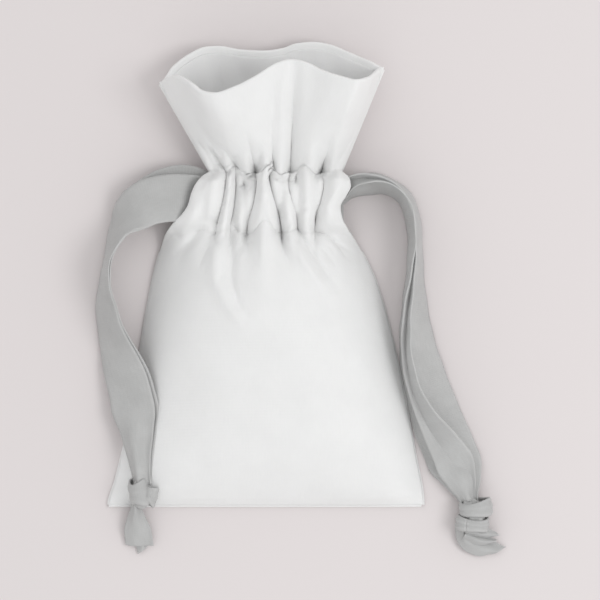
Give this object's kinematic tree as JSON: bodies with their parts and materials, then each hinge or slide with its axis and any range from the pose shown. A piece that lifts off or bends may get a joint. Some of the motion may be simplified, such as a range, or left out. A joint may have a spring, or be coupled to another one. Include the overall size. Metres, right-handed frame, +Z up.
{
  "type": "drawstring gift pouch",
  "caption": "Small cloth gift pouch lying on its back, with a gathered neck, an open ruffle and two flat ribbon drawstrings knotted at the sides.",
  "frame": {"origin": "on the table, under the middle of the cloth, with the pouch lying on its back panel", "axes": "+X across the pouch to its right, +Y along it from the bottom seam to the mouth, +Z up from the table"},
  "size_m": [0.1287, 0.162, 0.027],
  "materials": {
    "white_cotton": "fine plain weave, matt",
    "grey_ribbon": "fine ribbed weave, soft sheen",
    "white_thread": "spun thread, matt"
  },
  "bodies": {
    "pouch": {"back_panel": "white_cotton", "front_panel": "white_cotton", "left_side_seam": "white_cotton", "left_side_stitching": "white_thread", "right_side_seam": "white_cotton", "right_side_stitching": "white_thread", "bottom_seam": "white_cotton", "bottom_stitching": "white_thread", "back_casing": "white_cotton", "back_facing": "white_cotton", "front_facing": "white_cotton", "front_casing": "white_cotton", "left_neck_seam": "white_cotton", "right_neck_seam": "white_cotton", "back_lower_stitching": "white_thread", "front_lower_stitching": "white_thread", "back_upper_stitching": "white_thread", "front_upper_stitching": "white_thread", "left_header_seam": "white_cotton", "right_header_seam": "white_cotton", "left_ribbon_turn": "grey_ribbon", "right_ribbon_turn": "grey_ribbon"},
    "front_lip": {"front_lip_outer": "white_cotton", "front_lip_facing": "white_cotton"},
    "back_lip": {"back_lip_outer": "white_cotton", "back_lip_facing": "white_cotton"},
    "left_ribbon": {"left_ribbon_back_run": "grey_ribbon", "left_ribbon_front_run": "grey_ribbon"},
    "right_ribbon": {"right_ribbon_back_run": "grey_ribbon", "right_ribbon_front_run": "grey_ribbon"},
    "left_strands": {"left_front_strand": "grey_ribbon", "left_back_strand": "grey_ribbon", "left_knot": "grey_ribbon", "left_long_tail": "grey_ribbon", "left_short_tail": "grey_ribbon"},
    "right_strands": {"right_front_strand": "grey_ribbon", "right_back_strand": "grey_ribbon", "right_knot": "grey_ribbon", "right_long_tail": "grey_ribbon", "right_short_tail": "grey_ribbon"}
  },
  "joints": [
    {"name": "left_ribbon_pull", "type": "slide", "parent": "pouch", "child": "left_ribbon", "axis": [-1, 0, 0], "range_m": [0, 0.02]},
    {"name": "right_ribbon_pull", "type": "slide", "parent": "pouch", "child": "right_ribbon", "axis": [1, 0, 0], "range_m": [0, 0.02]},
    {"name": "left_ribbon_swing", "type": "hinge", "parent": "left_ribbon", "child": "left_strands", "pos_m": [-0.0307, 0.0245, 0.006], "axis": [0, 0, 1], "range_deg": [-35, 0]},
    {"name": "right_ribbon_swing", "type": "hinge", "parent": "right_ribbon", "child": "right_strands", "pos_m": [0.0307, 0.0286, 0.006], "axis": [0, 0, 1], "range_deg": [0, 35]},
    {"name": "front_lip_fold", "type": "hinge", "parent": "pouch", "child": "front_lip", "pos_m": [0, 0.033, 0.0115], "axis": [1, 0, 0], "range_deg": [-5, 35]},
    {"name": "back_lip_fold", "type": "hinge", "parent": "pouch", "child": "back_lip", "pos_m": [0, 0.033, 0.0006], "axis": [1, 0, 0], "range_deg": [0, 8]}
  ]
}
